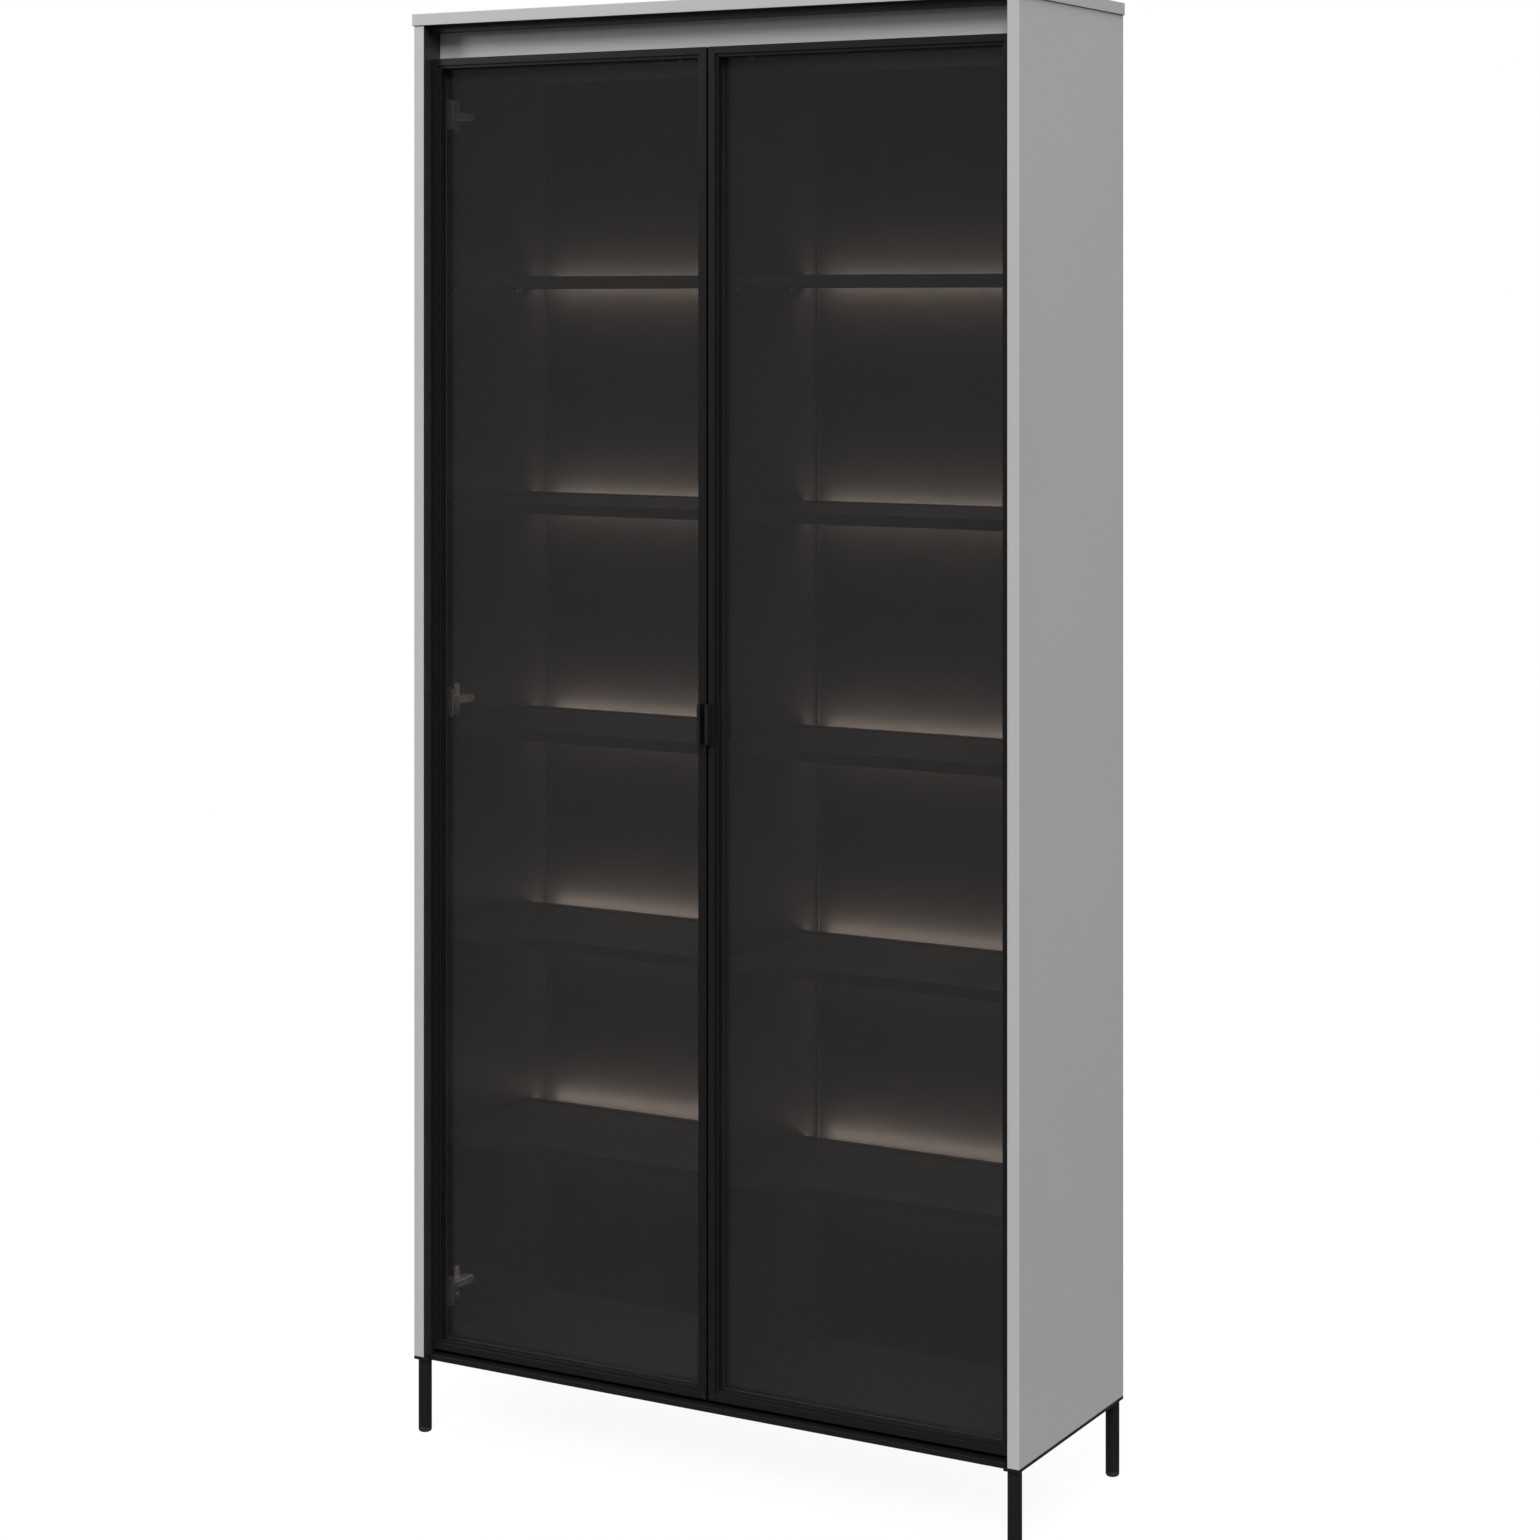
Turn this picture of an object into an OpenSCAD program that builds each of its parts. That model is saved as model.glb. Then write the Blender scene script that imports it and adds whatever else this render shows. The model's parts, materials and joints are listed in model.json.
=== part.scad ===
// Tall two-door display cabinet: a board shell on a steel base with four round legs, two framed
// glass doors set inside the shell, ten lit shelves, and a service space above the doors.
// Millimetres, +Z up, front towards -Y, origin on the floor at the centre of the footprint.

/* [Shell] */
// Width over the two side panels
shell_w = 1000; // [960:5:1060]
// Depth of the side panels
shell_d = 355; // [350:5:400]
// Height of the side panels
shell_h = 1996; // [1980:4:2060]
// Thickness of the outer boards
board_t = 18; // [16:1:19]
// How far the top panel stands past each side panel
top_side_overhang = 2.5; // [1:0.5:5]
// How far the top panel stands past the front edges of the side panels
top_front_overhang = 2; // [1:0.5:5]
// Height of the open zone between the top panel and the doors
top_zone_h = 49; // [45:1:60]

/* [Base and legs] */
// Height of the round legs with their glides
leg_h = 109.5; // [80:0.5:160]
// Diameter of the legs
leg_d = 20; // [18:1:22]
// Distance from the outer faces to a leg's centre
leg_inset = 12; // [11:1:14]
// Thickness of the flat steel bars
bar_t = 4.5; // [3:0.5:6]
// Width of the bars under the side panels
bar_w = 24; // [22:1:30]

/* [Doors] */
// How far the doors' front faces lie behind the front edges of the side panels
door_recess = 18; // [14:1:24]
// Depth of the door frame
door_t = 22; // [20:1:24]
// Width of each frame member
frame_w = 15; // [14:0.5:20]
// Width of the raised lip along a frame member's outer edge
lip_w = 10.5; // [8:0.5:12]
// Thickness of the glass
glass_t = 4; // [4:1:5]
// Gap between a door and its side panel
door_side_gap = 1.75; // [1.5:0.25:3]
// Gap between the two doors
door_mid_gap = 3.5; // [3:0.5:5]
// Height of a pull
pull_h = 57; // [40:1:80]
// How far a pull stands out from the door
pull_depth = 16; // [12:1:17]

/* [Shelves] */
// Thickness of the shelves, the partition and the wall rail
shelf_t = 16; // [15:1:18]
// Pitch of the three lower compartments
lower_pitch = 309; // [300:1:312]
// Pitch of the compartments above them
upper_pitch = 337.5; // [330:0.5:340]
// Distance from the side panels' front edges to the shelves' front edges
shelf_front = 45; // [45:1:80]
// Distance from the side panels' front edges to the shelves' rear edges
shelf_rear = 288; // [276:1:292]

/* [Hidden] */
// Frame heights and depths
total_d = shell_d + top_front_overhang;
front_y = top_front_overhang - total_d / 2;
shell_z = leg_h + bar_t;
shell_top_z = shell_z + shell_h;
half_w = shell_w / 2;
inner_x = half_w - board_t;
partition_x = shelf_t / 2;

// How far cutting shapes run past a face
over = 1;
// How much deeper a hole is than the pin or screw in it
hole_spare = 0.5;
// How much wider a hole is than the screw in it, in radius
play = 0.1;
// How far the parts of one solid run into each other
seam = 0.01;

// Boards inside the shell
carcase_front = door_recess + door_t + 2;
back_t = 6;
back_inset = 23;
back_front = shell_d - back_inset;
back_groove = 6;
groove_gap = 0.5;
partition_setback = 3;
floor_z = shell_z + board_t;
carcase_top_z = shell_top_z - top_zone_h;
carcase_ceiling_z = carcase_top_z - board_t;
shelf_count = 5;
shelf_gap = 1;
shelf_z = [for (i = [1:shelf_count])
    floor_z + lower_pitch * min(i, 3) + upper_pitch * max(i - 3, 0)];

// Zone above the doors
fascia_front = 42;
fascia_t = 16;
strip_front = 20;
strip_depth = 16;
strip_h = 9.5;

// Shelf pins
pin_r = 2.45;
pin_hole_r = 2.5;
pin_in = 6.5;
pin_out = 8;
pin_inset = 37;

// Shelf lights
channel_depth = 8;
channel_rear = shelf_rear + channel_depth;
channel_lip_t = 1.5;
channel_grip = 6;
diffuser_r = 4.5;
diffuser_root = 2.5;
diffuser_reach = 15;
diffuser_inset = 9;
wire_r = 1.75;
wire_hole_r = 3;
branch_r = 1.5;
wire_x = partition_x + 6;
wire_y = back_front - 6;
driver_size = [150, 46, 20];
driver_y = 200;
terminal_size = [14, 30, 14];
terminal_setback = 8;
grommet_r = 10;
grommet_flange_r = 13;
grommet_bore_r = 6;
grommet_flange_t = 2;

// Wall rail
wall_hole_r = 2.75;
wall_hole_spacing = 600;

// Door parts
door_w = inner_x - door_side_gap - door_mid_gap / 2;
door_z = shell_z + 9.5;
door_h = carcase_top_z - door_z;
door_mid_z = door_z + door_h / 2;
lip_step = 3;
rebate_u = 7;
gasket_t = 1;
glass_v = door_t - glass_t;
glass_gap = 0.5;
pull_x = 3.6;
pull_w = 5.5;
pull_foot_w = 8.5;
pull_foot_t = 2;
pull_screw_r = 1.5;
pull_screw_spacing = 32;
pull_screw_in = 8;
pull_screw_head_r = 2.2;
pull_screw_head_t = 1.5;

// Concealed hinges
hinge_spread = 886;
hinge_z = [door_mid_z - hinge_spread, door_mid_z, door_mid_z + hinge_spread];
cup_size = [22, 10.5, 44];
cup_inset = 2;
cup_drum_r = 8;
plate_t = 3;
plate_front = 62;
plate_len = 46;
plate_wing = 50;
plate_w = 13;
hinge_arm_t = 10;
hinge_arm_w = 12;
hinge_arm_front = 53;
hinge_arm_len = 62;
hinge_screw_r = 2;
hinge_screw_head_r = 3.6;
hinge_screw_head_t = 1.6;
hinge_screw_len = 13;
hinge_wing_screw = 19;

// Base parts
front_bar_front = 8;
front_bar_lip = 3.5;
front_bar_lip_depth = 26;
front_bar_depth = 50;
rear_bar_depth = 40;
stud_r = 3;
stud_hole_r = stud_r + play;
stud_len = 34;
stud_in_leg = 12;
glide_h = 8;
glide_round = 4;
base_screw_r = 2;
base_screw_hole_r = base_screw_r + play;
base_screw_head_r = 3.8;
base_screw_head_t = 2;
base_screw_len = 16;
base_screw_x = 400;
base_screw_inset = 8;
base_screw_depths = [carcase_front + base_screw_inset, shell_d - rear_bar_depth + base_screw_inset];
back_screw_len = 22;

// Door bumpers
bumper_r = 4;
bumper_t = 1.7;
bumper_x = 60;

fine = 48;

grey = [0.60, 0.60, 0.60];
black = [0.08, 0.08, 0.08];
steel_black = [0.05, 0.05, 0.05];
nickel = [0.62, 0.61, 0.60];
warm_white = [1.0, 0.88, 0.72];
glass_tint = [0.12, 0.12, 0.12, 0.6];
rubber_black = [0.03, 0.03, 0.03];

// Y at a distance behind the side panels' front edges
function depth(d) = front_y + d;

// A block between two opposite corners
module block(low, high) {
    translate(low) cube(high - low);
}

// A round bar along X, Y or Z from a point
module rod_x(p, r, len) {
    translate(p) rotate([0, 90, 0]) cylinder(r = r, h = len, $fn = fine);
}
module rod_y(p, r, len) {
    translate(p) rotate([-90, 0, 0]) cylinder(r = r, h = len, $fn = fine);
}
module rod_z(p, r, len) {
    translate(p) cylinder(r = r, h = len, $fn = fine);
}

// The same thing on the right and, mirrored, on the left
module both_sides() {
    children();
    mirror([1, 0, 0]) children();
}

module on_left() {
    mirror([1, 0, 0]) children();
}

// ---- Shell ----

module top_panel() {
    color(grey)
        block([-half_w - top_side_overhang, depth(-top_front_overhang), shell_top_z],
              [half_w + top_side_overhang, depth(shell_d), shell_top_z + board_t]);
}

// Four pin holes for each shelf, in a face whose outward normal is +X
module pin_holes(face_x) {
    for (z = shelf_z, d = [shelf_front + pin_inset, shelf_rear - pin_inset])
        rod_x([face_x - pin_in - hole_spare, depth(d), z - shelf_t - pin_r], pin_hole_r,
              pin_in + hole_spare + over);
}

// The right side panel; the left one is its mirror image
module side_panel() {
    difference() {
        block([inner_x, depth(0), shell_z], [half_w, depth(shell_d), shell_top_z]);
        block([inner_x - over, depth(back_front), shell_z - over],
              [inner_x + back_groove, depth(back_front + back_t), carcase_top_z]);
        mirror([1, 0, 0]) pin_holes(-inner_x);
        for (z = hinge_z, s = [-1, 1])
            rod_x([inner_x - over, depth(plate_front + plate_len / 2), z + s * hinge_wing_screw],
                  hinge_screw_r + play, hinge_screw_len - plate_t + over);
        for (d = [leg_inset, shell_d - leg_inset])
            rod_z([half_w - leg_inset, depth(d), shell_z - over], stud_hole_r,
                  stud_len - stud_in_leg - bar_t + hole_spare + over);
    }
}

module left_side_panel() {
    color(grey) on_left() side_panel();
}

module right_side_panel() {
    color(grey) side_panel();
}

module carcase_top() {
    color(black) difference() {
        block([-inner_x, depth(carcase_front), carcase_ceiling_z],
              [inner_x, depth(back_front), carcase_top_z]);
        both_sides() rod_z([wire_x, depth(wire_y), carcase_ceiling_z - over], wire_hole_r,
                           board_t + 2 * over);
    }
}

module bottom_panel() {
    color(black) difference() {
        block([-inner_x, depth(carcase_front), shell_z], [inner_x, depth(back_front), floor_z]);
        base_screw_rods(base_screw_hole_r, base_screw_len + hole_spare);
    }
}

module back_panel() {
    color(black) difference() {
        block([-inner_x - back_groove + groove_gap, depth(back_front), shell_z],
              [inner_x + back_groove - groove_gap, depth(back_front + back_t),
               carcase_top_z - groove_gap]);
        back_screw_rods(base_screw_hole_r, back_screw_len + over);
    }
}

module centre_partition() {
    color(black) difference() {
        block([-partition_x, depth(carcase_front + partition_setback), floor_z],
              [partition_x, depth(back_front), carcase_ceiling_z]);
        both_sides() pin_holes(partition_x);
        back_screw_rods(base_screw_hole_r, back_screw_len + over);
    }
}

module top_fascia() {
    color(grey)
        block([-inner_x, depth(fascia_front), carcase_top_z],
              [inner_x, depth(fascia_front + fascia_t), shell_top_z]);
}

module shadow_strip() {
    color(black)
        block([-inner_x, depth(strip_front), shell_top_z - strip_h],
              [inner_x, depth(strip_front + strip_depth), shell_top_z]);
}

module wall_rail() {
    rail_y = depth(shell_d - shelf_t);
    mid_z = (carcase_top_z + shell_top_z) / 2;
    color(black) difference() {
        block([-inner_x, rail_y, carcase_top_z], [inner_x, depth(shell_d), shell_top_z]);
        both_sides()
            rod_y([wall_hole_spacing / 2, rail_y - over, mid_z], wall_hole_r, shelf_t + 2 * over);
        rod_y([0, rail_y - over, mid_z], grommet_r + play, shelf_t + 2 * over);
    }
}

// ---- Shelves and lights ----

// One shelf of the right bay, counted from the bottom
module shelf_board(i) {
    color(black)
        block([partition_x + shelf_gap, depth(shelf_front), shelf_z[i] - shelf_t],
              [inner_x - shelf_gap, depth(shelf_rear), shelf_z[i]]);
}

module shelf_pins() {
    color(nickel) both_sides()
        for (z = shelf_z, d = [shelf_front + pin_inset, shelf_rear - pin_inset]) {
            rod_x([partition_x - pin_in, depth(d), z - shelf_t - pin_r], pin_r, pin_in + pin_out);
            rod_x([inner_x - pin_out, depth(d), z - shelf_t - pin_r], pin_r, pin_in + pin_out);
        }
}

// Aluminium clip channels that grip the shelves' rear edges, each with a groove for its diffuser
module light_channels() {
    x0 = partition_x + shelf_gap;
    x1 = inner_x - shelf_gap;
    color(black) both_sides() for (z = shelf_z) difference() {
        block([x0, depth(shelf_rear - channel_grip), z - shelf_t - channel_lip_t],
              [x1, depth(channel_rear), z + channel_lip_t]);
        block([x0 - over, depth(shelf_rear - channel_grip - over), z - shelf_t],
              [x1 + over, depth(shelf_rear), z]);
        block([partition_x + diffuser_inset, depth(channel_rear - diffuser_root),
               z - shelf_t / 2 - diffuser_r],
              [inner_x - diffuser_inset, depth(channel_rear + over), z - shelf_t / 2 + diffuser_r]);
    }
}

// Opal diffusers with a round nose that stand out behind the channels
module light_diffusers() {
    x0 = partition_x + diffuser_inset;
    x1 = inner_x - diffuser_inset;
    nose = channel_rear + diffuser_reach - diffuser_r;
    color(warm_white) both_sides() for (z = shelf_z) {
        mid = z - shelf_t / 2;
        block([x0, depth(channel_rear - diffuser_root), mid - diffuser_r],
              [x1, depth(nose), mid + diffuser_r]);
        rod_x([x0, depth(nose), mid], diffuser_r, x1 - x0);
    }
}

module light_driver() {
    color([0.85, 0.85, 0.83]) {
        block([-driver_size[0] / 2, depth(driver_y), carcase_top_z],
              [driver_size[0] / 2, depth(driver_y + driver_size[1]), carcase_top_z + driver_size[2]]);
        both_sides()
            translate([driver_size[0] / 2, depth(driver_y + terminal_setback), carcase_top_z])
                cube(terminal_size);
    }
}

// One lead down each side of the partition, with a short branch to every channel
module light_wiring() {
    lowest = shelf_z[0] - shelf_t / 2;
    top = carcase_top_z + terminal_size[2] / 2;
    entry_x = (driver_size[0] + terminal_size[0]) / 2;
    entry_y = driver_y + terminal_setback + terminal_size[1];
    color(rubber_black) both_sides() {
        rod_z([wire_x, depth(wire_y), lowest - wire_r], wire_r, top - lowest + 2 * wire_r);
        for (z = shelf_z)
            rod_y([wire_x, depth(channel_rear), z - shelf_t / 2], branch_r, wire_y - channel_rear);
        rod_x([wire_x, depth(wire_y), top], wire_r, entry_x - wire_x + wire_r);
        rod_y([entry_x, depth(entry_y), top], wire_r, wire_y - entry_y + wire_r);
    }
}

module cable_grommet() {
    mid_z = (carcase_top_z + shell_top_z) / 2;
    color(rubber_black) difference() {
        union() {
            rod_y([0, depth(shell_d - shelf_t), mid_z], grommet_r, shelf_t - grommet_flange_t);
            rod_y([0, depth(shell_d - shelf_t - grommet_flange_t), mid_z], grommet_flange_r,
                  grommet_flange_t);
        }
        rod_y([0, depth(shell_d - shelf_t - grommet_flange_t - over), mid_z], grommet_bore_r,
              shelf_t + grommet_flange_t + 2 * over);
    }
}

// ---- Legs and base ----

// One leg tube with its stud hole, standing on its glide
module leg(side, d) {
    color(steel_black) translate([side * (half_w - leg_inset), depth(d), glide_h]) difference() {
        cylinder(d = leg_d, h = leg_h - glide_h, $fn = fine);
        translate([0, 0, leg_h - glide_h - stud_in_leg - hole_spare])
            cylinder(r = stud_hole_r, h = stud_in_leg + hole_spare + over, $fn = fine);
    }
}

// The rounded foot of each leg, turned from a profile
module leg_glides() {
    r = leg_d / 2;
    color(rubber_black) both_sides() for (d = [leg_inset, shell_d - leg_inset])
        translate([half_w - leg_inset, depth(d), 0]) rotate_extrude($fn = fine) {
            square([r - glide_round, glide_h]);
            translate([0, glide_round]) square([r, glide_h - glide_round]);
            intersection() {
                translate([r - glide_round, glide_round]) circle(r = glide_round, $fn = fine);
                square([r, glide_round]);
            }
        }
}

module leg_studs() {
    color(nickel) both_sides() for (d = [leg_inset, shell_d - leg_inset])
        rod_z([half_w - leg_inset, depth(d), leg_h - stud_in_leg], stud_r, stud_len);
}

// Raised along the front between the side panels, flat behind that
module base_bar_front() {
    flat_x = half_w - bar_w;
    color(steel_black) difference() {
        union() {
            block([-flat_x, depth(front_bar_front), leg_h],
                  [flat_x, depth(front_bar_front + front_bar_depth), shell_z]);
            block([-flat_x, depth(front_bar_front), leg_h],
                  [flat_x, depth(front_bar_front + front_bar_lip_depth), shell_z + front_bar_lip]);
        }
        base_screw_rods(base_screw_hole_r, base_screw_len);
    }
}

module base_bar_rear() {
    flat_x = half_w - bar_w;
    color(steel_black) difference() {
        block([-flat_x, depth(shell_d - rear_bar_depth), leg_h], [flat_x, depth(shell_d), shell_z]);
        base_screw_rods(base_screw_hole_r, base_screw_len);
    }
}

module base_bar_side() {
    difference() {
        block([half_w - bar_w, depth(0), leg_h], [half_w, depth(shell_d), shell_z]);
        for (d = [leg_inset, shell_d - leg_inset])
            rod_z([half_w - leg_inset, depth(d), leg_h - over], stud_hole_r, bar_t + 2 * over);
    }
}

module base_bar_left() {
    color(steel_black) on_left() base_bar_side();
}

module base_bar_right() {
    color(steel_black) base_bar_side();
}

// Shanks of the screws that hold the base bars to the bottom panel
module base_screw_rods(r, len) {
    for (x = base_screw_x * [-1, 0, 1], d = base_screw_depths)
        rod_z([x, depth(d), leg_h - seam], r, len);
}

module base_screws() {
    color(nickel) {
        base_screw_rods(base_screw_r, base_screw_len);
        for (x = base_screw_x * [-1, 0, 1], d = base_screw_depths)
            rod_z([x, depth(d), leg_h - base_screw_head_t], base_screw_head_r, base_screw_head_t);
    }
}

// Shanks of the screws that hold the back panel to the partition, from the rear
module back_screw_rods(r, len) {
    for (i = [0:shelf_count - 1])
        rod_y([0, depth(back_front + back_t - back_screw_len), shelf_z[i] - lower_pitch / 2], r, len);
}

module back_screws() {
    color(nickel) for (i = [0:shelf_count - 1]) {
        z = shelf_z[i] - lower_pitch / 2;
        rod_y([0, depth(back_front + back_t - back_screw_len + hole_spare), z], base_screw_r,
              back_screw_len - hole_spare + seam);
        rod_y([0, depth(back_front + back_t), z], base_screw_head_r, base_screw_head_t);
    }
}

module door_bumpers() {
    color([0.75, 0.75, 0.73]) both_sides()
        for (z = [floor_z - bumper_r, carcase_ceiling_z + bumper_r])
            rod_y([bumper_x, depth(carcase_front - bumper_t), z], bumper_r, bumper_t);
}

// ---- Hinges, the parts that stay on the side panels ----

module hinge_plate_shape() {
    mid = plate_front + plate_len / 2;
    for (z = hinge_z) difference() {
        union() {
            block([inner_x - plate_t, depth(plate_front), z - plate_w / 2],
                  [inner_x, depth(plate_front + plate_len), z + plate_w / 2]);
            block([inner_x - plate_t, depth(mid - plate_w / 2), z - plate_wing / 2],
                  [inner_x, depth(mid + plate_w / 2), z + plate_wing / 2]);
        }
        for (s = [-1, 1])
            rod_x([inner_x - plate_t - over, depth(mid), z + s * hinge_wing_screw],
                  hinge_screw_r + play, plate_t + 2 * over);
    }
}

module hinge_plates() {
    color(nickel) both_sides() hinge_plate_shape();
}

// A rounded arm on each plate, reaching forward to the cup on the door
module hinge_arms() {
    color(nickel) both_sides() for (z = hinge_z) {
        block([inner_x - plate_t - hinge_arm_t, depth(hinge_arm_front + hinge_arm_w / 2),
               z - hinge_arm_w / 2],
              [inner_x - plate_t, depth(hinge_arm_front + hinge_arm_len - hinge_arm_w / 2),
               z + hinge_arm_w / 2]);
        for (d = [hinge_arm_w / 2, hinge_arm_len - hinge_arm_w / 2])
            rod_x([inner_x - plate_t - hinge_arm_t, depth(hinge_arm_front + d), z], hinge_arm_w / 2,
                  hinge_arm_t);
    }
}

module hinge_screws() {
    mid = plate_front + plate_len / 2;
    color(nickel) both_sides() for (z = hinge_z, s = [-1, 1]) {
        rod_x([inner_x - plate_t - hinge_screw_head_t, depth(mid), z + s * hinge_wing_screw],
              hinge_screw_head_r, hinge_screw_head_t);
        rod_x([inner_x - plate_t, depth(mid), z + s * hinge_wing_screw], hinge_screw_r,
              hinge_screw_len - hinge_screw_head_t);
    }
}

// ---- Doors, drawn as the right-hand door ----

// Section of a frame member: u from the outer edge inwards, v from the front face back
module frame_section() {
    polygon([[0, 0], [lip_w, 0], [lip_w, lip_step], [frame_w, lip_step], [frame_w, glass_v - gasket_t],
             [rebate_u, glass_v - gasket_t], [rebate_u, door_t], [0, door_t]]);
}

// Frame member of a given length along +Z, its mitres cut at 45 degrees
module frame_member(len) {
    intersection() {
        linear_extrude(len) frame_section();
        translate([0, door_t + over, 0]) rotate([90, 0, 0]) linear_extrude(door_t + 2 * over)
            polygon([[0, 0], [frame_w, frame_w], [frame_w, len - frame_w], [0, len]]);
    }
}

// Moves a shape drawn from the door's lower inner corner to its place
module at_door() {
    translate([door_mid_gap / 2, depth(door_recess), door_z]) children();
}

// The stile that carries the pull
module inner_stile() {
    difference() {
        at_door() frame_member(door_h);
        pull_screw_rods(pull_screw_r + play, over);
    }
}

module outer_stile() {
    at_door() translate([door_w, 0, 0]) mirror([1, 0, 0]) frame_member(door_h);
}

// A member turned to lie along +X, with its outer edge down
module lying_member() {
    mirror([0, 0, 1]) rotate([0, 90, 0]) frame_member(door_w);
}

module bottom_rail() {
    at_door() lying_member();
}

module top_rail() {
    at_door() translate([0, 0, door_h]) mirror([0, 0, 1]) lying_member();
}

module glass_pane() {
    edge = rebate_u + glass_gap;
    at_door() block([edge, glass_v, edge], [door_w - edge, door_t, door_h - edge]);
}

module gasket() {
    edge = rebate_u + glass_gap;
    at_door() difference() {
        block([edge, glass_v - gasket_t, edge], [door_w - edge, glass_v, door_h - edge]);
        block([frame_w, glass_v - gasket_t - over, frame_w],
              [door_w - frame_w, glass_v + over, door_h - frame_w]);
    }
}

// A fin with a round front edge on a thin foot
module pull() {
    mid_x = pull_x + pull_w / 2;
    nose = pull_w / 2;
    difference() {
        translate([0, 0, door_mid_z - pull_h / 2]) linear_extrude(pull_h) {
            translate([pull_x, depth(door_recess - pull_depth + nose)])
                square([pull_w, pull_depth - nose]);
            translate([mid_x, depth(door_recess - pull_depth + nose)]) circle(r = nose, $fn = fine);
            translate([pull_x, depth(door_recess - pull_foot_t)]) square([pull_foot_w, pull_foot_t]);
        }
        pull_screw_rods(pull_screw_r + play, over);
    }
}

// Shanks of a pull's two screws, from inside the fin to the back of the stile
module pull_screw_rods(r, spare) {
    for (s = [-1, 1])
        rod_y([pull_x + pull_w / 2, depth(door_recess) - pull_screw_in - spare,
               door_mid_z + s * pull_screw_spacing / 2], r, pull_screw_in + door_t + 2 * spare);
}

module pull_screws() {
    pull_screw_rods(pull_screw_r, 0);
    for (s = [-1, 1])
        rod_y([pull_x + pull_w / 2, depth(door_recess + door_t) - seam,
               door_mid_z + s * pull_screw_spacing / 2], pull_screw_head_r, pull_screw_head_t);
}

// The hinge parts that travel with the door: a plate behind the glass edge and its drum
module hinge_cups() {
    x_high = inner_x - door_side_gap - cup_inset;
    y_low = depth(door_recess + door_t);
    for (z = hinge_z) {
        block([x_high - cup_size[0], y_low, z - cup_size[2] / 2],
              [x_high, y_low + cup_size[1] / 3, z + cup_size[2] / 2]);
        block([x_high - cup_size[0] / 2 - cup_drum_r, y_low, z - cup_drum_r],
              [x_high - cup_size[0] / 2 + cup_drum_r, y_low + cup_size[1], z + cup_drum_r]);
    }
}

// ---- Nodes ----

top_panel();
left_side_panel();
right_side_panel();
carcase_top();
bottom_panel();
back_panel();
centre_partition();
top_fascia();
shadow_strip();
wall_rail();
on_left() shelf_board(0);  // shelf_left_1
on_left() shelf_board(1);  // shelf_left_2
on_left() shelf_board(2);  // shelf_left_3
on_left() shelf_board(3);  // shelf_left_4
on_left() shelf_board(4);  // shelf_left_5
shelf_board(0);  // shelf_right_1
shelf_board(1);  // shelf_right_2
shelf_board(2);  // shelf_right_3
shelf_board(3);  // shelf_right_4
shelf_board(4);  // shelf_right_5
shelf_pins();
light_channels();
light_diffusers();
light_driver();
light_wiring();
cable_grommet();
leg(-1, leg_inset);  // leg_front_left
leg(1, leg_inset);  // leg_front_right
leg(-1, shell_d - leg_inset);  // leg_rear_left
leg(1, shell_d - leg_inset);  // leg_rear_right
leg_glides();
leg_studs();
base_bar_front();
base_bar_rear();
base_bar_left();
base_bar_right();
base_screws();
back_screws();
door_bumpers();
hinge_plates();
hinge_arms();
hinge_screws();
color(black) on_left() outer_stile();  // left_door_outer_stile
color(black) on_left() inner_stile();  // left_door_inner_stile
color(black) on_left() top_rail();  // left_door_top_rail
color(black) on_left() bottom_rail();  // left_door_bottom_rail
color(glass_tint) on_left() glass_pane();  // left_door_glass
color(rubber_black) on_left() gasket();  // left_door_gasket
color(steel_black) on_left() pull();  // left_door_pull
color(nickel) on_left() pull_screws();  // left_pull_screws
color(nickel) on_left() hinge_cups();  // left_hinge_cups
color(black) outer_stile();  // right_door_outer_stile
color(black) inner_stile();  // right_door_inner_stile
color(black) top_rail();  // right_door_top_rail
color(black) bottom_rail();  // right_door_bottom_rail
color(glass_tint) glass_pane();  // right_door_glass
color(rubber_black) gasket();  // right_door_gasket
color(steel_black) pull();  // right_door_pull
color(nickel) pull_screws();  // right_pull_screws
color(nickel) hinge_cups();  // right_hinge_cups
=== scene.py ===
import json
import math

import bmesh
import bpy
from mathutils import Matrix, Vector

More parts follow.
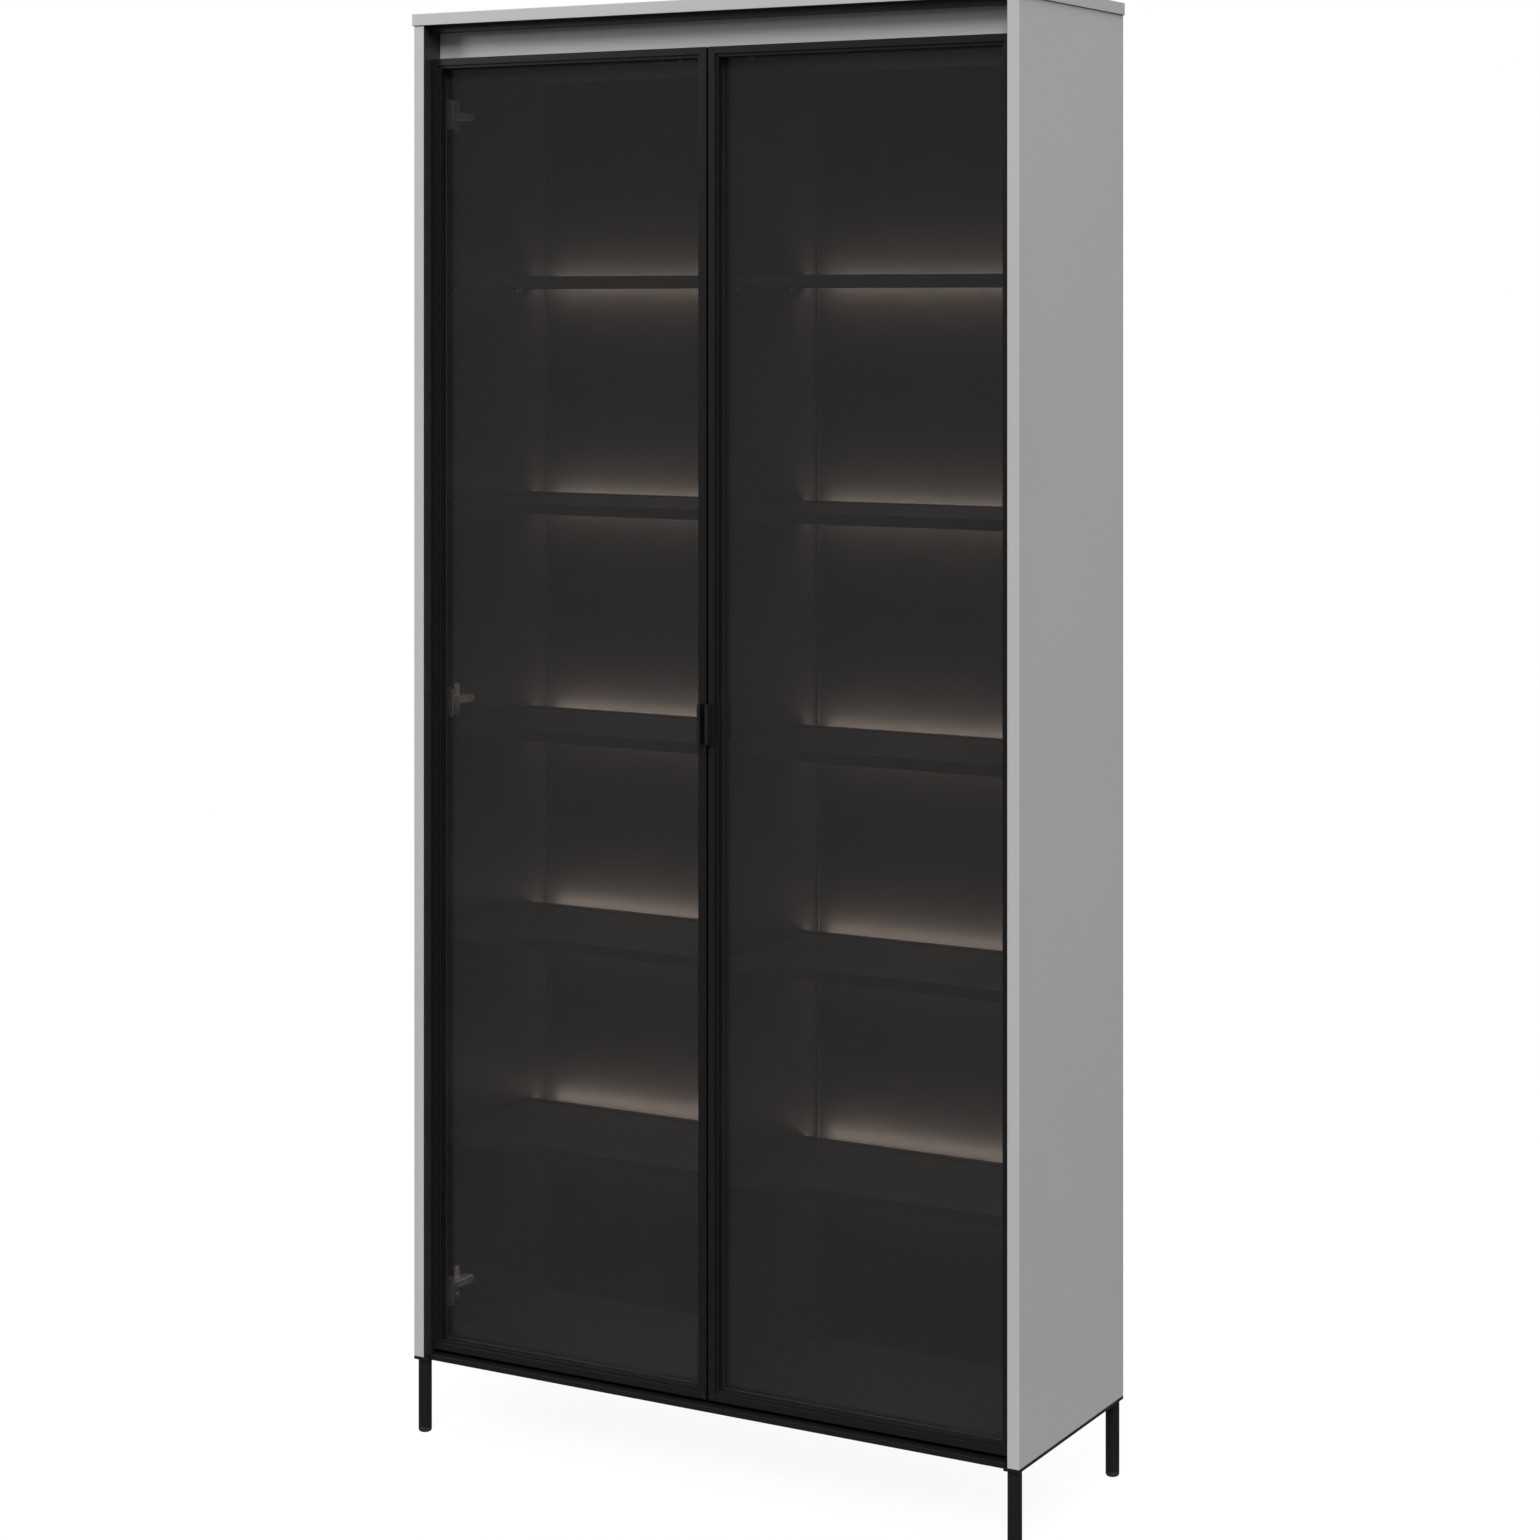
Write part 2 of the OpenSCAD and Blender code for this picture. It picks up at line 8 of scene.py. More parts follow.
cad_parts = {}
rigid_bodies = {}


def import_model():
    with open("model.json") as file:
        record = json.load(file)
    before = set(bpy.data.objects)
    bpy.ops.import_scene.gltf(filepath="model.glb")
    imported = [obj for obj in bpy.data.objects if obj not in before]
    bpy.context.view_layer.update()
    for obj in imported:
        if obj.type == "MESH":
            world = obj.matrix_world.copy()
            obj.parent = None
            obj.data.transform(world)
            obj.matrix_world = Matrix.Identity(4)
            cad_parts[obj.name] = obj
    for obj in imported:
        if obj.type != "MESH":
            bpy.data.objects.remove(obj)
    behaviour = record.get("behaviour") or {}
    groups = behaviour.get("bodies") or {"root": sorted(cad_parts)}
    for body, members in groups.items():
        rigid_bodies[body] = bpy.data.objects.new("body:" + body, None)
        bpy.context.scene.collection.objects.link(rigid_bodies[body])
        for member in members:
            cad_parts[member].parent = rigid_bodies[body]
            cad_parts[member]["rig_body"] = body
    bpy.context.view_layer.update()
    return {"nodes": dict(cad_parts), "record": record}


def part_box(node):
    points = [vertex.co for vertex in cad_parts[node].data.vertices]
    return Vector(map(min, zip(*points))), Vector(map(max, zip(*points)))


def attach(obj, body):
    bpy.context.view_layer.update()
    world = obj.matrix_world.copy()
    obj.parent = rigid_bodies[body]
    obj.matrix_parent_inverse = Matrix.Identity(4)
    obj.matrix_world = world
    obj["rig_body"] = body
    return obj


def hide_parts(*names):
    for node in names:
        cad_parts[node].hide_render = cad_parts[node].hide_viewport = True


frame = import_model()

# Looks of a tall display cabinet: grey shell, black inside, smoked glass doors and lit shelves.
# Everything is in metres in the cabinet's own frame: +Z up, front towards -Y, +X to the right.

MM = 0.001
SIDES = {"left": -1, "right": 1}

# Faces of the shell that other places are worked out from
RIGHT_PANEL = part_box("right_side_panel")
FRONT_Y = RIGHT_PANEL[0].y
INNER_X = RIGHT_PANEL[0].x
PARTITION_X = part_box("centre_partition")[1].x

# Turns that point a shape's own +Z another way
FACING_FRONT = Matrix.Rotation(math.pi / 2, 4, "X")
FACING_BACK = Matrix.Rotation(-math.pi / 2, 4, "X")
FACING_DOWN = Matrix.Rotation(math.pi, 4, "X")
FACING_RIGHT = Matrix.Rotation(math.pi / 2, 4, "Y")
SWAP_X_AND_Z = Matrix(((0, 0, 1, 0), (0, 1, 0, 0), (1, 0, 0, 0), (0, 0, 0, 1)))

# Mesh clean-up and rounding
WELD = 0.002 * MM
FLAT_ANGLE = math.radians(0.5)
SHARP_ANGLE = math.radians(30)
SMOOTH_ANGLE = math.radians(40)
SHORTEST_BEVEL = 3.5 * MM
ROUND_STEPS = 40
FACES_THAT_WAY = 0.7     # how far along an axis a face's normal points to count as facing that way
CUT_CLEARANCE = 1 * MM   # how far a cutter stands out of the face it cuts


# ---- Node helpers ----

def new_material(name):
    """A material, its node tree and its Principled shader."""
    made = bpy.data.materials.new(name)
    made.use_nodes = True
    return made, made.node_tree, made.node_tree.nodes["Principled BSDF"]


def set_inputs(node, inputs):
    """Links or sets each named input of a node."""
    for name, value in inputs.items():
        socket = node.inputs[name]
        if isinstance(value, bpy.types.NodeSocket):
            socket.id_data.links.new(value, socket)
        else:
            socket.default_value = value


def add_node(tree, kind, inputs, **settings):
    """A new node with its settings and inputs."""
    node = tree.nodes.new(kind)
    for name, value in settings.items():
        setattr(node, name, value)
    set_inputs(node, inputs)
    return node


def surface_point(tree, stretch=(1, 1, 1)):
    """The point on the surface in metres, stretched along the axes."""
    point = tree.nodes.new("ShaderNodeTexCoord").outputs["Object"]
    return add_node(tree, "ShaderNodeMapping", {"Vector": point, "Scale": stretch}).outputs["Vector"]


def noise(tree, size, detail=3.0, stretch=(1, 1, 1)):
    """Noise from 0 to 1 whose features are about size metres wide."""
    inputs = {"Vector": surface_point(tree, stretch), "Scale": 1 / size, "Detail": detail}
    return add_node(tree, "ShaderNodeTexNoise", inputs).outputs["Fac"]


def between(tree, value, low, high, start=0.3, end=0.7):
    """A number from low to high as value goes from start to end."""
    inputs = {"Value": value, "From Min": start, "From Max": end, "To Min": low, "To Max": high}
    return add_node(tree, "ShaderNodeMapRange", inputs).outputs["Result"]


def tones(tree, value, low, high, start=0.3, end=0.7):
    """A colour from low to high as value goes from start to end."""
    ramp = tree.nodes.new("ShaderNodeValToRGB")
    tree.links.new(value, ramp.inputs["Fac"])
    ramp.color_ramp.elements[0].position = start
    ramp.color_ramp.elements[1].position = end
    ramp.color_ramp.elements[0].color = (*low, 1)
    ramp.color_ramp.elements[1].color = (*high, 1)
    return ramp.outputs["Color"]


def grain(tree, height, depth, strength=1.0, under=None):
    """A normal with bumps of a depth in metres, on top of other bumps if given."""
    inputs = {"Height": height, "Distance": depth, "Strength": strength}
    if under is not None:
        inputs["Normal"] = under
    return add_node(tree, "ShaderNodeBump", inputs).outputs["Normal"]


def grey(value):
    """A neutral colour."""
    return (value, value, value)


# ---- Materials, one function each ----

def grey_board():
    """Matt lacquer on board: a faint cloudiness and a fine orange-peel skin."""
    made, tree, shader = new_material("grey_lacquer")
    cloud = noise(tree, 0.35)
    skin = noise(tree, 2.2 * MM, detail=2)
    set_inputs(shader, {
        "Base Color": tones(tree, cloud, (0.392, 0.391, 0.393), (0.412, 0.411, 0.412)),
        "Roughness": between(tree, noise(tree, 0.02), 0.44, 0.52),
        "Normal": grain(tree, skin, 0.03 * MM, 0.5),
        "Specular IOR Level": 0.4,
    })
    return made


def laminate(name, roughness, shine):
    """Black laminate with a fine pearl texture."""
    made, tree, shader = new_material(name)
    pearl = noise(tree, 1.1 * MM, detail=4)
    set_inputs(shader, {
        "Base Color": tones(tree, noise(tree, 0.05), grey(0.021), grey(0.025)),
        "Roughness": between(tree, pearl, roughness - 0.04, roughness + 0.05),
        "Normal": grain(tree, pearl, 0.03 * MM, 0.5),
        "Specular IOR Level": shine,
    })
    return made


def black_board():
    """Laminate of the boards inside."""
    return laminate("black_laminate", roughness=0.46, shine=0.4)


def satin_board():
    """Smoother laminate of the grey boards' inner faces."""
    return laminate("satin_black_laminate", roughness=0.29, shine=0.7)


def powder_coat(name, low, high, roughness, grit_size, shine):
    """Black powder coat over metal."""
    made, tree, shader = new_material(name)
    grit = noise(tree, grit_size, detail=4)
    flow = noise(tree, 6 * MM, detail=2)
    smooth_flow = grain(tree, flow, 0.04 * MM, 0.3)
    set_inputs(shader, {
        "Base Color": tones(tree, grit, grey(low), grey(high)),
        "Roughness": between(tree, grit, roughness - 0.05, roughness + 0.06),
        "Normal": grain(tree, grit, 0.03 * MM, 0.6, smooth_flow),
        "Specular IOR Level": shine,
    })
    return made


def black_steel():
    """Coating of the legs and the base bars."""
    return powder_coat("black_powder_coated_steel", low=0.005, high=0.008, roughness=0.40,
                       grit_size=0.9 * MM, shine=0.28)


def door_frame():
    """Coating of the door profiles."""
    return powder_coat("satin_black_profile", low=0.005, high=0.007, roughness=0.34,
                       grit_size=0.6 * MM, shine=0.28)


def pull_metal():
    """Coating of the fin pulls."""
    return powder_coat("satin_black_pull", low=0.005, high=0.008, roughness=0.36,
                       grit_size=0.5 * MM, shine=0.35)


GLASS_SEEN_THROUGH = 0.62  # share of the light that passes one face of a pane
GLASS_MIRROR = 0.036       # share that one face reflects when seen straight on
GLASS_HAZE = 0.022         # share that the smoked tint scatters
MIRROR_TINT = (1, 0.96, 0.97, 1)
HAZE_TINT = (0.35, 0.325, 0.33, 1)
SCHLICK_POWER = 5.0


def smoked_glass():
    """Thin smoked glass: a tinted, slightly hazy see-through with a clear mirror on top."""
    made, tree, shader = new_material("smoked_glass")
    tree.nodes.remove(shader)
    cloud = noise(tree, 0.25, detail=2, stretch=(1, 1, 0.4))
    tint = GLASS_SEEN_THROUGH
    see_through = add_node(tree, "ShaderNodeBsdfTransparent", {
        "Color": tones(tree, cloud, (0.99 * tint, 0.99 * tint, 0.985 * tint), grey(tint)),
    })
    mirror = add_node(tree, "ShaderNodeBsdfGlossy", {
        "Color": MIRROR_TINT,
        "Roughness": between(tree, noise(tree, 0.08), 0.01, 0.03),
    })
    # Schlick's curve, the same on both faces, since a thin pane doesn't bend the light
    facing = add_node(tree, "ShaderNodeLayerWeight", {"Blend": 0.5}).outputs["Facing"]
    grazing = add_node(tree, "ShaderNodeMath", {0: facing, 1: SCHLICK_POWER}, operation="POWER")
    share = between(tree, grazing.outputs["Value"], GLASS_MIRROR, 1, 0, 1)
    pane = add_node(tree, "ShaderNodeMixShader", {"Fac": share})
    haze = add_node(tree, "ShaderNodeBsdfDiffuse", {"Color": HAZE_TINT})
    body = add_node(tree, "ShaderNodeMixShader", {"Fac": GLASS_HAZE})
    tree.links.new(see_through.outputs["BSDF"], body.inputs[1])
    tree.links.new(haze.outputs["BSDF"], body.inputs[2])
    tree.links.new(body.outputs["Shader"], pane.inputs[1])
    tree.links.new(mirror.outputs["BSDF"], pane.inputs[2])
    tree.links.new(pane.outputs["Shader"], tree.nodes["Material Output"].inputs["Surface"])
    return made


def gasket_rubber():
    """Matt black rubber, a little dusty."""
    made, tree, shader = new_material("gasket_rubber")
    dust = noise(tree, 1.5 * MM, detail=4)
    set_inputs(shader, {
        "Base Color": tones(tree, dust, grey(0.007), grey(0.012)),
        "Roughness": between(tree, dust, 0.65, 0.8),
        "Normal": grain(tree, dust, 0.03 * MM, 0.5),
    })
    return made


def nickel_plated():
    """Nickel plating over stamped steel, with faint drawing lines along the part."""
    made, tree, shader = new_material("nickel_plating")
    lines = noise(tree, 0.6 * MM, detail=3, stretch=(1, 0.08, 1))
    set_inputs(shader, {
        "Base Color": tones(tree, noise(tree, 6 * MM), (0.80, 0.79, 0.77), (0.87, 0.86, 0.84)),
        "Roughness": between(tree, lines, 0.28, 0.40),
        "Normal": grain(tree, lines, 0.01 * MM, 0.4),
        "Metallic": 0.85,
    })
    return made


def black_channel():
    """Black anodised aluminium, drawn along its length."""
    made, tree, shader = new_material("black_anodised_channel")
    lines = noise(tree, 0.5 * MM, detail=3, stretch=(0.03, 1, 1))
    set_inputs(shader, {
        "Base Color": tones(tree, lines, grey(0.024), grey(0.034)),
        "Roughness": between(tree, lines, 0.32, 0.45),
        "Normal": grain(tree, lines, 0.01 * MM, 0.4),
        "Metallic": 0.6,
    })
    return made


DIFFUSER_GLOW = 23.0       # mean emission strength
DIODE_PITCH = 8.3 * MM


def diffuser():
    """Opal diffuser with a lit strip behind it: a little brighter over each diode."""
    made, tree, shader = new_material("lit_opal_diffuser")
    along = add_node(tree, "ShaderNodeSeparateXYZ", {"Vector": surface_point(tree)}).outputs["X"]
    turn = add_node(tree, "ShaderNodeMath", {0: along, 1: 2 * math.pi / DIODE_PITCH}, operation="MULTIPLY")
    wave = add_node(tree, "ShaderNodeMath", {0: turn.outputs["Value"]}, operation="COSINE")
    glow = between(tree, wave.outputs["Value"], 0.9 * DIFFUSER_GLOW, 1.1 * DIFFUSER_GLOW, -1, 1)
    set_inputs(shader, {
        "Base Color": tones(tree, noise(tree, 3 * MM), (0.83, 0.77, 0.68), (0.87, 0.80, 0.70)),
        "Roughness": between(tree, noise(tree, 2 * MM), 0.4, 0.5),
        "Emission Color": (1.0, 0.82, 0.68, 1),
        "Emission Strength": glow,
    })
    return made


def driver_case():
    """White moulded plastic."""
    made, tree, shader = new_material("white_driver_case")
    skin = noise(tree, 1.2 * MM, detail=3)
    set_inputs(shader, {
        "Base Color": tones(tree, noise(tree, 0.03), (0.60, 0.60, 0.58), (0.64, 0.64, 0.62)),
        "Roughness": between(tree, skin, 0.42, 0.52),
        "Normal": grain(tree, skin, 0.03 * MM, 0.5),
    })
    return made


def wire_sleeve():
    """Flexible black cable sleeve."""
    made, tree, shader = new_material("black_cable_sleeve")
    skin = noise(tree, 1.0 * MM, detail=2, stretch=(1, 1, 0.2))
    set_inputs(shader, {
        "Base Color": tones(tree, skin, grey(0.009), grey(0.013)),
        "Roughness": between(tree, skin, 0.45, 0.55),
        "Normal": grain(tree, skin, 0.02 * MM, 0.4),
    })
    return made


def black_plastic():
    """Moulded black plastic with a spark-eroded texture."""
    made, tree, shader = new_material("moulded_black_plastic")
    spark = noise(tree, 0.8 * MM, detail=5)
    set_inputs(shader, {
        "Base Color": tones(tree, spark, grey(0.010), grey(0.015)),
        "Roughness": between(tree, spark, 0.5, 0.62),
        "Normal": grain(tree, spark, 0.04 * MM, 0.6),
    })
    return made


def clear_bumper():
    """Soft translucent pad."""
    made, tree, shader = new_material("clear_bumper")
    skin = noise(tree, 2 * MM)
    set_inputs(shader, {
        "Base Color": tones(tree, skin, (0.48, 0.48, 0.46), (0.54, 0.54, 0.52)),
        "Roughness": between(tree, skin, 0.2, 0.32),
        "Subsurface Weight": 0.4,
        "Subsurface Scale": 0.002,
    })
    return made


LOOKS = {make.__name__: make() for make in (
    grey_board, black_board, satin_board, black_steel, door_frame, pull_metal, smoked_glass, gasket_rubber,
    nickel_plated, black_channel, diffuser, driver_case, wire_sleeve, black_plastic, clear_bumper)}


# ---- Mesh helpers ----

def loop_of(bm, points):
    """New corners at these points."""
    return [bm.verts.new(p) for p in points]


def skin_over(bm, loops, caps=True):
    """Faces from each loop of corners to the next, and over both ends."""
    for low, high in zip(loops, loops[1:]):
        for i in range(len(low)):
            j = (i + 1) % len(low)
            bm.faces.new((low[i], low[j], high[j], high[i]))
    if caps:
        bm.faces.new(reversed(loops[0]))
        bm.faces.new(loops[-1])


def circle(radius, z=0.0, steps=ROUND_STEPS):
    """Points round the Z axis."""
    turns = [2 * math.pi * i / steps for i in range(steps)]
    return [Vector((radius * math.cos(t), radius * math.sin(t), z)) for t in turns]


def lathe(profile, steps=ROUND_STEPS):
    """A solid turned about the Z axis from (radius, height) points."""
    bm = bmesh.new()
    skin_over(bm, [loop_of(bm, circle(r, z, steps)) for r, z in profile])
    return bm


def tube(profile, steps=ROUND_STEPS):
    """A ring turned about the Z axis from a closed line of (radius, height) points."""
    bm = bmesh.new()
    loops = [loop_of(bm, circle(r, z, steps)) for r, z in profile]
    skin_over(bm, loops + loops[:1], caps=False)
    return bm


def rounded_rectangle(width, height, radius, steps=6):
    """Outline in the XY plane, centred on the origin."""
    points = []
    for turn, (sx, sy) in enumerate(((1, 1), (-1, 1), (-1, -1), (1, -1))):
        cx = sx * (width / 2 - radius)
        cy = sy * (height / 2 - radius)
        for i in range(steps + 1):
            a = math.pi / 2 * (turn + i / steps)
            points.append(Vector((cx + radius * math.cos(a), cy + radius * math.sin(a), 0)))
    return points


def prism(outline, low, high):
    """A solid with the given outline in XY, from one height to another."""
    bm = bmesh.new()
    skin_over(bm, [loop_of(bm, [Vector((p[0], p[1], z)) for p in outline]) for z in (low, high)])
    return bm


def block(low, high):
    """A box between two corners."""
    bm = bmesh.new()
    corners = [(low[0], low[1]), (high[0], low[1]), (high[0], high[1]), (low[0], high[1])]
    skin_over(bm, [loop_of(bm, [Vector((x, y, z)) for x, y in corners]) for z in (low[2], high[2])])
    return bm


def soften(bm, width, segments=2, shortest=0.0):
    """Rounds the sharp edges that are at least as long as shortest."""
    bmesh.ops.recalc_face_normals(bm, faces=bm.faces)
    edges = [e for e in bm.edges if len(e.link_faces) == 2
             and e.calc_face_angle() > SHARP_ANGLE and e.calc_length() > shortest]
    bmesh.ops.bevel(bm, geom=edges, offset=width, offset_type="OFFSET", segments=segments,
                    profile=0.5, affect="EDGES", clamp_overlap=False)
    return bm


def merge(bm, part, matrix=None):
    """Adds another bmesh, placed by a matrix, and frees it."""
    mesh = bpy.data.meshes.new("part")
    part.to_mesh(mesh)
    part.free()
    if matrix is not None:
        mesh.transform(matrix)
    bm.from_mesh(mesh)
    bpy.data.meshes.remove(mesh)
    return bm


def copies(part, matrices):
    """One bmesh that holds a part once for each matrix."""
    mesh = bpy.data.meshes.new("part")
    part.to_mesh(mesh)
    part.free()
    bm = bmesh.new()
    for matrix in matrices:
        placed = mesh.copy()
        placed.transform(matrix)
        bm.from_mesh(placed)
        bpy.data.meshes.remove(placed)
    bpy.data.meshes.remove(mesh)
    return bm


def carved(solid, cutter):
    """A solid less the cutter."""
    made = []
    for part in (solid, cutter):
        bmesh.ops.recalc_face_normals(part, faces=part.faces)
        mesh = bpy.data.meshes.new("carving")
        part.to_mesh(mesh)
        part.free()
        made.append(bpy.data.objects.new("carving", mesh))
        bpy.context.scene.collection.objects.link(made[-1])
    cut = made[0].modifiers.new("cut", "BOOLEAN")
    cut.operation = "DIFFERENCE"
    cut.solver = "EXACT"
    cut.object = made[1]
    result = bmesh.new()
    result.from_object(made[0], bpy.context.evaluated_depsgraph_get())
    for obj in made:
        mesh = obj.data
        bpy.data.objects.remove(obj)
        bpy.data.meshes.remove(mesh)
    return result


def cad_shape(name):
    """A CAD node's shape, with its triangles joined into flat faces."""
    bm = bmesh.new()
    bm.from_mesh(frame["nodes"][name].data)
    bmesh.ops.remove_doubles(bm, verts=bm.verts, dist=WELD)
    bmesh.ops.dissolve_limit(bm, angle_limit=FLAT_ANGLE, verts=bm.verts, edges=bm.edges)
    return bm


def add_piece(name, bm, body, slots, *nodes):
    """A finished piece that rides on a body and stands for CAD nodes, its first slot its main one."""
    bmesh.ops.recalc_face_normals(bm, faces=bm.faces)
    mesh = bpy.data.meshes.new(name)
    bm.to_mesh(mesh)
    bm.free()
    for slot in slots:
        mesh.materials.append(LOOKS[slot])
    mesh.polygons.foreach_set("use_smooth", [True] * len(mesh.polygons))
    mesh.set_sharp_from_angle(angle=SMOOTH_ANGLE)
    piece = bpy.data.objects.new(name, mesh)
    bpy.context.scene.collection.objects.link(piece)
    even = piece.modifiers.new("even_shading", "WEIGHTED_NORMAL")
    even.keep_sharp = True
    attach(piece, body)
    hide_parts(*nodes)


def body_of(name):
    """The body that a CAD node belongs to."""
    return frame["nodes"][name]["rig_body"]


def slot_of(name):
    """The record's material slot of a CAD node."""
    return next(s["material_slot"] for s in frame["record"]["subparts"] if s["node"] == name)


def softened_node(name, piece_name, width, segments=2, inside=None):
    """A piece with a CAD node's shape and rounded edges; faces that inside() picks turn satin black."""
    bm = soften(cad_shape(name), width, segments, SHORTEST_BEVEL)
    slots = [slot_of(name)]
    if inside is not None:
        slots.append("satin_board")
        bm.normal_update()
        for face in bm.faces:
            face.material_index = int(inside(face))
    add_piece(piece_name, bm, body_of(name), slots, name)


# ---- Screws ----

def cross_outline(size, width):
    """Outline of a cross recess."""
    a, b = size / 2, width / 2
    return [(a, -b), (a, b), (b, b), (b, a), (-b, a), (-b, b),
            (-a, b), (-a, -b), (-b, -b), (-b, -a), (b, -a), (b, -b)]


def hexagon(size):
    """Outline of a hexagon socket, size across its corners."""
    return [(p.x, p.y) for p in circle(size / 2, steps=6)]


def screw_head(radius, height, recess, depth):
    """A domed head on the XY plane, facing +Z, with a recess."""
    dome = [(radius, 0), (radius, 0.3 * height), (0.96 * radius, 0.55 * height),
            (0.85 * radius, 0.8 * height), (0.68 * radius, 0.95 * height), (0.5 * radius, height)]
    return carved(lathe(dome, 24), prism(recess, height - depth, height + depth))


def screw(radius, height, shank_radius, length, recess, depth):
    """A screw facing +Z, its head on the XY plane and its threaded shank below."""
    thread_pitch = 1.2 * MM
    turns = int(length / thread_pitch)
    profile = []
    for i in range(turns):
        z = -length + i * thread_pitch
        profile += [(0.8 * shank_radius, z), (shank_radius, z + thread_pitch / 2)]
    profile.append((0.8 * shank_radius, 0.0))
    profile[0] = (0.25 * shank_radius, -length)
    bm = screw_head(radius, height, recess, depth)
    return merge(bm, lathe(profile, 16))


# ---- Shell ----

def shell_inside(sign):
    """Tells a side panel's inner faces from its outer ones."""
    return lambda face: face.normal.x * sign < -FACES_THAT_WAY


def make_shell():
    """Grey boards with a black inner face, their edges slightly rounded."""
    edge = 0.9 * MM
    softened_node("top_panel", "top_board", edge, 3, lambda face: face.normal.z < -FACES_THAT_WAY)
    for side, sign in SIDES.items():
        softened_node(f"{side}_side_panel", f"{side}_side_board", edge, 3, shell_inside(sign))
    softened_node("top_fascia", "fascia_board", 0.6 * MM, 3)
    softened_node("shadow_strip", "shadow_strip_board", 0.5 * MM)


def make_inner_boards():
    """Black boards inside the shell."""
    for name in ("carcase_top", "bottom_panel", "centre_partition", "wall_rail"):
        softened_node(name, f"{name}_board", 0.5 * MM)
    softened_node("back_panel", "back_panel_sheet", 0.4 * MM)


# ---- Shelves and lights ----

def make_shelves():
    """Ten black shelves."""
    for side in SIDES:
        for i in range(1, 6):
            softened_node(f"shelf_{side}_{i}", f"{side}_shelf_{i}_board", 0.6 * MM, 3)


def islands(name):
    """Lowest and highest corner of each separate solid in a CAD node."""
    bm = cad_shape(name)
    found = []
    unvisited = set(bm.verts)
    while unvisited:
        queue = [unvisited.pop()]
        group = []
        while queue:
            v = queue.pop()
            group.append(v.co.copy())
            for e in v.link_edges:
                other = e.other_vert(v)
                if other in unvisited:
                    unvisited.remove(other)
                    queue.append(other)
        low = Vector((min(p.x for p in group), min(p.y for p in group), min(p.z for p in group)))
        high = Vector((max(p.x for p in group), max(p.y for p in group), max(p.z for p in group)))
        found.append((low, high))
    bm.free()
    return sorted(found, key=lambda b: (b[0].z, b[0].x, b[0].y))


def make_shelf_pins():
    """Turned pins: a shank in the board, a thin collar at its face and a rounded peg under the shelf."""
    collar = 0.8 * MM
    ease = 0.8 * MM
    point = 0.6 * MM
    bm = bmesh.new()
    for low, high in islands("shelf_pins"):
        centre = (low + high) / 2
        radius = (high.z - low.z) / 2
        side = math.copysign(1, centre.x)
        into_partition = abs(centre.x) < INNER_X / 2
        # The peg points away from the board that holds it
        outwards = side if into_partition else -side
        face = side * (PARTITION_X if into_partition else INNER_X)
        tip = high.x if outwards > 0 else low.x
        peg = abs(tip - face)
        shank = (high.x - low.x) - peg
        profile = [(0.8 * radius, -shank), (radius, -shank + point), (radius, 0),
                   (1.4 * radius, 0), (1.4 * radius, collar), (radius, collar),
                   (radius, peg - ease), (0.7 * radius, peg)]
        turn = Matrix.Rotation(outwards * math.pi / 2, 4, "Y")
        place = Matrix.Translation((face, centre.y, centre.z))
        merge(bm, lathe(profile, 24), place @ turn)
    add_piece("shelf_support_pins", bm, "root", ["nickel_plated"], "shelf_pins")


def make_lights():
    """Lit strips along the rear edges of the shelves, and what feeds them."""
    softened_node("light_channels", "light_channel_extrusions", 0.3 * MM)
    softened_node("light_diffusers", "light_diffuser_strips", 0.4 * MM, 3)
    softened_node("light_driver", "light_driver_case", 1.5 * MM, 3)
    softened_node("light_wiring", "light_wires", 0.1 * MM)


def make_grommet():
    """Turned rubber grommet with a soft flange on the inner side."""
    low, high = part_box("cable_grommet")
    length = high.y - low.y
    flange = (high.x - low.x) / 2
    body = flange - 3 * MM
    bore = flange - 7 * MM
    lip = 2 * MM
    bore_ease = 0.6 * MM
    rim_ease = 0.8 * MM
    profile = [(bore, length), (bore, bore_ease), (bore + bore_ease, 0), (flange - rim_ease, 0),
               (flange, rim_ease), (flange, lip), (body, lip), (body, length)]
    centre = (low + high) / 2
    bm = tube(profile)
    bm.transform(Matrix.Translation((centre.x, low.y, centre.z)) @ FACING_BACK)
    add_piece("cable_grommet_ring", bm, "root", ["black_plastic"], "cable_grommet")


def screws_in(node, part, turn, face_y=None, face_z=None):
    """A screw for each separate solid of a CAD node, its head on the face at this y or z."""
    matrices = []
    for low, high in islands(node):
        head = (low + high) / 2
        if face_y is not None:
            head.y = face_y
        if face_z is not None:
            head.z = face_z
        matrices.append(Matrix.Translation(head) @ turn)
    return copies(part, matrices)


# ---- Legs and base ----

LEGS = ("front_left", "front_right", "rear_left", "rear_right")


def leg_centres():
    """Centre of each leg on the floor."""
    centres = {}
    for leg in LEGS:
        low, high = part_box(f"leg_{leg}")
        centres[leg] = Vector(((low.x + high.x) / 2, (low.y + high.y) / 2, 0))
    return centres


